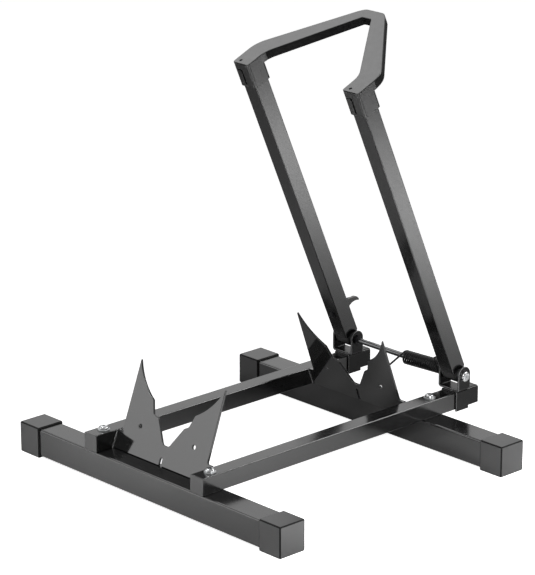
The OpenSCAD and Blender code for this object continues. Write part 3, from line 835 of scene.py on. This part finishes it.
@dataclass
class Cradles(Part):
    """The two sheets that hold the tyre, with their welds to the rails."""

    edge: float = 0.0005
    weld_sides: Pair = (-0.1028, 0.0908)
    weld_front: Pair = (-0.2337, -0.2246)
    weld_rear: Pair = (0.1497, 0.1406)
    weld_height: Pair = (0.0435, 0.0665)
    weld_width: float = 0.0044
    weld_rise: float = 0.0016
    weld_drops: int = 13

    def build(self) -> None:
        """Eases the sheets' edges and welds them in."""
        for name in ("front_cradle", "rear_cradle"):
            sheet = self.eased(name, self.edge)
            self.place(sheet, Body.BASE, Slot.PAINTED_PLATE, Palette.PLATE_PAINT, name)
        for end, along in (("front", self.weld_front), ("rear", self.weld_rear)):
            for side, across in zip(("left", "right"), self.weld_sides):
                foot, top = ((across, *point) for point in zip(along, self.weld_height))
                name = f"{end}_{side}_weld"
                bead = WeldSeam(name, foot, top, self.weld_width, self.weld_rise, self.weld_drops)
                self.place(bead.build(), Body.BASE, Slot.PAINTED_STEEL, Palette.WELD_PAINT)


@dataclass
class Hinge(Part):
    """Saddles, clevises, the pivot rod and its small parts."""

    saddle_edge: float = 0.0004
    clevis_edge: float = 0.0008
    clevis_middles: Pair = (-0.1155, 0.1015)
    ear_reach: float = 0.0125
    bead_half: float = 0.0015
    bead_place: Pair = (0.2204, 0.0716)

    def build(self) -> None:
        """Eases the pressed sheets, welds the clevises on and dresses the rest."""
        widths = {"saddle": self.saddle_edge, "clevis": self.clevis_edge}
        for name in ("left_saddle", "right_saddle", "left_clevis", "right_clevis"):
            sheet = self.eased(name, widths[name.split("_")[1]])
            # The eased rims take a light grey, a painted highlight.
            self.place(
                sheet, Body.BASE, Slot.PAINTED_STEEL, Palette.HINGE_PAINT, name, edges=Palette.EDGE_PAINT
            )
        for side, middle in zip(("left", "right"), self.clevis_middles):
            for end, way in (("inner", -1), ("outer", 1)):
                place = middle + way * self.ear_reach
                start = (place - self.bead_half, *self.bead_place)
                stop = (place + self.bead_half, *self.bead_place)
                bead = WeldSeam(f"{side}_{end}_clevis_weld", start, stop)
                self.place(bead.build(), Body.BASE, Slot.PAINTED_STEEL, Palette.WELD_PAINT)
        self.keep("pivot_rod", Palette.ROD_STEEL)
        self.keep("rod_nuts", Palette.BLACK_STEEL)
        self.keep("left_pivot_screw", Palette.CHROME)
        self.keep("right_pivot_screw", Palette.CHROME)
        self.keep("spacer_washers", Palette.ZINC)


@dataclass
class Hoop(Part):
    """The two uprights with their knuckles, bushes and plugs."""

    def build(self) -> None:
        """Dresses the uprights and what is in them."""
        for side in ("left", "right"):
            self.keep(side + "_upright", Palette.TUBE_PAINT)
            self.keep(side + "_knuckle", Palette.CAP_PLASTIC)
            self.keep(side + "_bush", Palette.BRASS)
            self.keep(side + "_top_plug", Palette.CAP_PLASTIC)


@dataclass
class Handle(Part):
    """The one-piece moulded handle and its two screws."""

    edge: float = 0.0011
    pivot: Point = (-0.007, 0.2333125, 0.0917)
    lean: float = 23.7
    half_pitch: float = 0.1085
    height: float = 0.5
    socket_half: float = 0.01575
    socket_length: float = 0.04
    thick: float = 0.013
    inside: float = 0.0005
    outside: float = 0.0008
    margin: float = 0.0006
    above: float = 0.001
    run_out: float = 0.003
    flat_angle: float = 4.0
    wall_share: float = 0.4
    groove_reach: float = 0.0095
    groove_lip: float = 0.0003
    groove_depth: float = 0.0018

    def turned(self, way: Vector) -> Vector:
        """Turns a direction into the hoop's own frame, with Z along the uprights."""
        return Matrix.Rotation(-math.radians(self.lean), 3, "X") @ way

    def along(self, point: Vector) -> Vector:
        """Measures a point from the pivot, in the hoop's own frame."""
        return self.turned(point - Vector(self.pivot))

    def crisp(self, middle: Vector) -> bool:
        """Keeps the edges of the small recesses and of the sockets' insides crisp.

        Args:
            middle: The middle of an edge.

        Returns:
            True where the edge isn't rounded.
        """
        place = self.along(middle)
        aside = max(abs(abs(place.x) - self.half_pitch), abs(place.y))
        in_socket = aside < self.socket_half - self.inside and place.z < self.height + self.above
        low = self.height - self.socket_length + self.margin
        seam = aside < self.socket_half + self.outside and low < place.z < self.height - self.margin
        return in_socket or seam

    def runs_out(self, point: Vector) -> bool:
        """Tells whether a point lies where the bar's eased edge ends in a socket's side.

        Args:
            point: The point.

        Returns:
            True where it does.
        """
        place = self.along(point)
        aside = max(abs(abs(place.x) - self.half_pitch), abs(place.y))
        low = self.height - self.thick
        return aside < self.socket_half + self.run_out and abs(place.z - low) < self.run_out

    def sharpen(self, piece: bpy.types.Object) -> None:
        """Keeps the sockets' flat sides flat where the bar's eased edge runs out into them.

        Args:
            piece: The moulding.
        """
        mesh = piece.data
        faces: dict[tuple[int, int], list[Vector]] = {}
        for face in mesh.polygons:
            for key in face.edge_keys:
                faces.setdefault(key, []).append(face.normal)
        limit = math.radians(self.flat_angle)
        for edge in mesh.edges:
            normals = faces.get(edge.key, [])
            if len(normals) != 2 or normals[0].angle(normals[1], 0.0) < limit:
                continue
            if all(self.runs_out(mesh.vertices[index].co) for index in edge.vertices):
                edge.use_edge_sharp = True

    def mark_faces(self, piece: bpy.types.Object) -> None:
        """Marks the bar's walls and the grooves in the sockets' fronts, which take a darker, duller plastic
        as painted shade.

        Args:
            piece: The moulding.
        """
        for face in piece.data.polygons:
            place = self.along(face.center)
            upright = abs(self.turned(face.normal).z) < self.wall_share
            shaded_wall = upright and place.y > self.socket_half + self.run_out
            near = abs(abs(place.x) - self.half_pitch) < self.groove_reach
            groove = near and self.groove_lip < place.y + self.socket_half < self.groove_depth
            face.material_index = int(shaded_wall or groove)

    def build(self) -> None:
        """Rounds the moulding's edges and dresses it, with painted shade on its walls and grooves."""
        grip = self.eased("handle", self.edge, 3)
        flat, shaded_wall = Palette.HANDLE_PLASTIC, Palette.WALL_PLASTIC
        self.place(grip, Body.HOOP, Slot.MOULDED_PLASTIC, flat, "handle", edges=shaded_wall)
        self.keep("handle_screws", Palette.BLACK_STEEL)


@dataclass
class TyreHook(Part):
    """The small hook behind the left upright."""

    edge: float = 0.0006

    def build(self) -> None:
        """Rounds the hook and dresses its screw and sleeve."""
        hook = self.eased("hook", self.edge)
        self.place(hook, Body.HOOP, Slot.PAINTED_STEEL, Palette.TUBE_PAINT, "hook")
        self.keep("hook_screw", Palette.BLACK_STEEL)
        self.keep("hook_spacer", Palette.ZINC)


@dataclass
class TorsionSpring(Part):
    """One wire: a leg from the rear cradle's slit, the coils, and a leg into the right upright."""

    wire: float = 0.00145
    mean: float = 0.00895
    start: float = 0.0045
    end: float = 0.07645
    turns: int = 16
    sag: float = 0.0007
    lift: float = 0.0023
    rod: Pair = (0.2333125, 0.0917)
    slit: Pair = (0.1427082, 0.0537763)
    slit_x: float = -0.006
    lower_share: float = 0.95
    hole: Pair = (0.2166228, 0.1138617)
    hole_x: float = 0.0937
    bend: float = 0.00406
    steps_per_turn: int = 28
    bend_steps: int = 8
    sides: int = 14
    straight: float = 0.0015
    inward: float = 0.0001
    ring_reach: float = 2.2

    def leaving(self, middle: Pair, point: Pair, side: int) -> float:
        """Finds where a straight leg leaves the coil.

        Args:
            middle: The coil's middle, in Y and Z.
            point: Where the leg goes, in Y and Z.
            side: Which of the two tangents it follows.

        Returns:
            The angle round the coil, from +Y towards +Z.
        """
        across, up = point[0] - middle[0], point[1] - middle[1]
        return math.atan2(up, across) + side * math.acos(self.mean / math.hypot(across, up))

    def on_coil(self, across: float, middle: Pair, angle: float) -> Vector:
        """Finds a point on the wire's middle line.

        Args:
            across: Its place along the rod.
            middle: The coil's middle there, in Y and Z.
            angle: Its angle round the coil.

        Returns:
            The point.
        """
        reach = (self.mean * math.cos(angle), self.mean * math.sin(angle))
        return Vector((across, middle[0] + reach[0], middle[1] + reach[1]))

    def build(self) -> None:
        """Winds the coils and draws out both legs."""
        near = (self.rod[0], self.rod[1] - self.sag)
        far = (self.rod[0], self.rod[1] + self.lift)
        first = self.leaving(near, self.slit, -1)
        last = self.leaving(far, self.hole, 1)
        whole = math.tau * self.turns + (first - last + 2 * math.tau) % math.tau
        wire = self.coils(near, first, whole)
        self.lower_leg(wire, self.on_coil(self.start, near, first))
        self.upper_leg(wire, self.on_coil(self.end, far, last))
        Bench.outward(wire)
        Bench.smooth(wire, 60.0)
        Bench.dress(wire, Palette.SPRING_WIRE)
        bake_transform(wire)
        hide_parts("torsion_spring")
        self.report(wire, Palette.SPRING_WIRE)

    def coils(self, near: Pair, first: float, whole: float) -> bpy.types.Object:
        """Winds a round section about the rod with the Screw modifier.

        Args:
            near: The coil's middle at its inner end, in Y and Z.
            first: The angle at which it starts.
            whole: The angle that it turns through.

        Returns:
            The open coil.
        """
        Bench.clear()
        place = self.on_coil(0.0, (0.0, 0.0), first)
        tangent = Vector((0.0, math.sin(first), -math.cos(first)))
        turn = tangent.to_track_quat("Z", "X").to_euler()
        bpy.ops.mesh.primitive_circle_add(
            vertices=self.sides, radius=self.wire, location=place, rotation=turn
        )
        wire = bpy.context.object
        wire.name = "torsion_spring_wire"
        Bench.settle(wire)
        wind = wire.modifiers.new("wind", "SCREW")
        wind.axis = "X"
        wind.angle = -whole
        wind.screw_offset = self.end - self.start
        wind.steps = wind.render_steps = int(self.steps_per_turn * whole / math.tau)
        wind.use_merge_vertices = False
        Bench.finish_modifiers(wire)
        bpy.ops.object.mode_set(mode="EDIT")
        bpy.ops.mesh.select_all(action="SELECT")
        tilt = math.atan2(self.sag + self.lift, self.end - self.start)
        bpy.ops.transform.rotate(value=tilt, orient_axis="Y", center_override=(0.0, 0.0, 0.0))
        bpy.ops.transform.translate(value=(self.start, near[0], near[1]))
        bpy.ops.object.mode_set(mode="OBJECT")
        return wire

    def take_ring(self, wire: bpy.types.Object, middle: Vector) -> None:
        """Selects the open ring of the wire that lies about a point, in edit mode.

        Args:
            wire: The wire.
            middle: The ring's middle.
        """
        Bench.take(wire)
        count: dict[tuple[int, int], int] = {}
        for face in wire.data.polygons:
            for key in face.edge_keys:
                count[key] = count.get(key, 0) + 1
        rim = {index for key, times in count.items() if times == 1 for index in key}
        reach = self.ring_reach * self.wire
        for vertex in wire.data.vertices:
            vertex.select = vertex.index in rim and (vertex.co - middle).length < reach
        for edge in wire.data.edges:
            edge.select = all(wire.data.vertices[index].select for index in edge.vertices)
        for face in wire.data.polygons:
            face.select = False
        bpy.ops.object.mode_set(mode="EDIT")
        bpy.ops.mesh.select_mode(type="EDGE")

    def draw_out(self, way: Vector) -> None:
        """Extrudes the selected ring.

        Args:
            way: How far and in which direction.
        """
        bpy.ops.mesh.extrude_region_move(TRANSFORM_OT_translate={"value": tuple(way)})

    def lower_leg(self, wire: bpy.types.Object, begin: Vector) -> None:
        """Draws the leg that goes down through the rear cradle's slit.

        Args:
            wire: The wire.
            begin: Where the coil starts.
        """
        slit = Vector((self.slit_x, *self.slit))
        way = slit - begin
        flat = Vector((0.0, way.y, way.z)).normalized()
        inward = Vector((self.inward, 0.0, 0.0))
        self.take_ring(wire, begin)
        self.draw_out(flat * self.straight - inward)
        self.draw_out((way - flat * self.straight) * self.lower_share + inward)
        bpy.ops.mesh.edge_face_add()
        bpy.ops.object.mode_set(mode="OBJECT")

    def upper_leg(self, wire: bpy.types.Object, finish: Vector) -> None:
        """Draws the leg that goes up beside the right upright and turns into its hole.

        Args:
            wire: The wire.
            finish: Where the coil ends.
        """
        hole = Vector((self.end, *self.hole))
        way = (hole - finish).normalized()
        self.take_ring(wire, finish)
        self.draw_out(hole - self.bend * way - finish)
        centre = hole - self.bend * way + Vector((self.bend, 0.0, 0.0))
        turning = Vector((1.0, 0.0, 0.0)).cross(way)
        bpy.ops.mesh.spin(steps=self.bend_steps, angle=math.radians(90), center=centre, axis=turning)
        self.draw_out(Vector((self.hole_x - self.end - self.bend, 0.0, 0.0)))
        bpy.ops.mesh.edge_face_add()
        bpy.ops.object.mode_set(mode="OBJECT")


@dataclass(frozen=True)
class Softbox:
    """A square lamp with a grid: its place and aim, side in metres, watts and angle in degrees."""

    name: str
    place: Point
    aim: Point
    size: float
    power: float
    spread: float


@dataclass
class Studio:
    """A plain pale floor, soft lamps and the camera."""

    target: Point = (0.02748, -0.06319, 0.26872)
    azimuth: float = 46.9338
    elevation: float = 18.1222
    distance: float = 4.19072
    lens: float = 206.49
    floor_size: float = 16.0
    floor_shade: float = 0.82
    floor_glow: float = 0.95
    room_fill: float = 0.08
    gloss_room: float = 0.35
    lamps: tuple[Softbox, ...] = (
        Softbox("right_panel", (0.97, 1.15, 1.3), (0.97, 1.05, 0.0), size=0.6, power=10.5, spread=78.0),
        Softbox("side_panel", (0.78, -0.22, 0.45), (0.45, -0.1, 0.0), size=0.3, power=1.3, spread=58.0),
        Softbox("front_panel", (-0.85, -1.1, 0.5), (0.0, -0.2, 0.12), size=1.1, power=0.45, spread=50.0),
        Softbox("low_panel", (-0.15, -0.62, 0.8), (-0.12, -0.52, 0.0), size=0.4, power=1.0, spread=50.0),
        Softbox("end_panel", (0.62, 0.34, 0.14), (0.29, 0.25, 0.01), size=0.12, power=0.08, spread=26.0),
        Softbox("back_panel", (-1.25, 1.17, 0.6), (0.0, 0.0, 0.1), size=1.2, power=0.33, spread=70.0),
        Softbox("top_softbox", (-1.4, 0.45, 1.9), (0.0, 0.0, 0.35), size=1.2, power=0.8, spread=60.0),
        Softbox("edge_strip", (0.6, 1.4, 1.55), (0.0, 0.0, 0.1), size=0.8, power=1.1, spread=50.0),
    )

    def build(self) -> None:
        """Sets the stage."""
        self.world()
        self.floor()
        for softbox in self.lamps:
            self.hang(softbox)
        self.camera()
        bpy.context.scene.view_settings.view_transform = "Standard"

    def hang(self, softbox: Softbox) -> None:
        """Hangs a lamp, out of the camera's sight.

        Args:
            softbox: The lamp.
        """
        light = bpy.data.lights.new(softbox.name, "AREA")
        light.shape = "SQUARE"
        light.size = softbox.size
        light.energy = softbox.power
        light.spread = math.radians(softbox.spread)
        lamp = bpy.data.objects.new(softbox.name, light)
        bpy.context.scene.collection.objects.link(lamp)
        lamp.location = softbox.place
        lamp.visible_camera = False
        way = Vector(softbox.aim) - Vector(softbox.place)
        lamp.rotation_euler = way.to_track_quat("-Z", "Y").to_euler()

    def world(self) -> None:
        """Lights the room softly, and shows white to the camera and glass and grey to gloss."""
        world = bpy.data.worlds.new("studio")
        bpy.context.scene.world = world
        world.use_nodes = True
        r = Recipe(world.node_tree)
        seen = r.add("LightPath")
        shown = r.math("MAXIMUM", seen.outputs["Is Camera Ray"], seen.outputs["Is Transmission Ray"])
        shown = r.math("MAXIMUM", shown, seen.outputs["Is Glossy Ray"])
        soft = r.add("Background", Strength=self.room_fill)
        white = r.add("Background")
        plain = r.math("MULTIPLY", seen.outputs["Is Glossy Ray"], self.gloss_room - 1.0)
        r.join(r.math("ADD", plain, 1.0), white.inputs["Strength"])
        for light in (soft, white):
            light.inputs["Color"].default_value = (1.0, 1.0, 1.0, 1.0)
        mix = r.add("MixShader")
        r.join(shown, mix.inputs[0])
        r.join(soft.outputs[0], mix.inputs[1])
        r.join(white.outputs[0], mix.inputs[2])
        r.join(mix.outputs[0], r.add("OutputWorld").inputs["Surface"])
        world.cycles.sampling_method = "NONE"

    def floor(self) -> None:
        """Lays a pale floor that shows white around the rack's shadow."""
        Bench.clear()
        bpy.ops.mesh.primitive_plane_add(size=self.floor_size, location=(0.0, 0.0, 0.0))
        floor = bpy.context.object
        floor.name = "studio_floor"
        pale = bpy.data.materials.new("pale_floor")
        pale.use_nodes = True
        r = Recipe(pale.node_tree)
        seen = r.add("LightPath")
        cover = r.add("BsdfDiffuse")
        cover.inputs["Color"].default_value = (*(self.floor_shade,) * 3, 1.0)
        glow = r.add("Emission")
        glow.inputs["Color"].default_value = (1.0, 1.0, 1.0, 1.0)
        shown = r.math("MULTIPLY", seen.outputs["Is Camera Ray"], self.floor_glow)
        r.join(shown, glow.inputs["Strength"])
        both = r.add("AddShader")
        r.join(cover.outputs[0], both.inputs[0])
        r.join(glow.outputs[0], both.inputs[1])
        r.join(both.outputs[0], r.add("OutputMaterial").inputs["Surface"])
        pale.cycles.emission_sampling = "NONE"
        floor.data.materials.append(pale)

    def camera(self) -> None:
        """Stands the camera where the photograph was taken from."""
        turn, rise = math.radians(self.azimuth), math.radians(self.elevation)
        level = math.cos(rise)
        back = Vector((math.sin(turn) * level, -math.cos(turn) * level, math.sin(rise)))
        data = bpy.data.cameras.new("photo_camera")
        data.sensor_fit = "HORIZONTAL"
        data.sensor_width = 36.0
        data.lens = self.lens
        data.clip_end = 50.0
        camera = bpy.data.objects.new("photo_camera", data)
        bpy.context.scene.collection.objects.link(camera)
        camera.location = Vector(self.target) + back * self.distance
        camera.rotation_euler = (-back).to_track_quat("-Z", "Y").to_euler()
        bpy.context.scene.camera = camera


def main() -> None:
    """Builds the rack's sub-assemblies in order and sets the stage."""
    logging.basicConfig(level=logging.INFO, format="%(message)s")
    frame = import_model()
    Bench.clear()
    nodes = frame["nodes"]
    for kind in (BaseFrame, Cradles, Hinge, TorsionSpring, Hoop, Handle, TyreHook):
        kind(nodes).build()
    Studio().build()
    Bench.clear()
    bpy.context.view_layer.update()


if __name__ == "__main__":
    main()
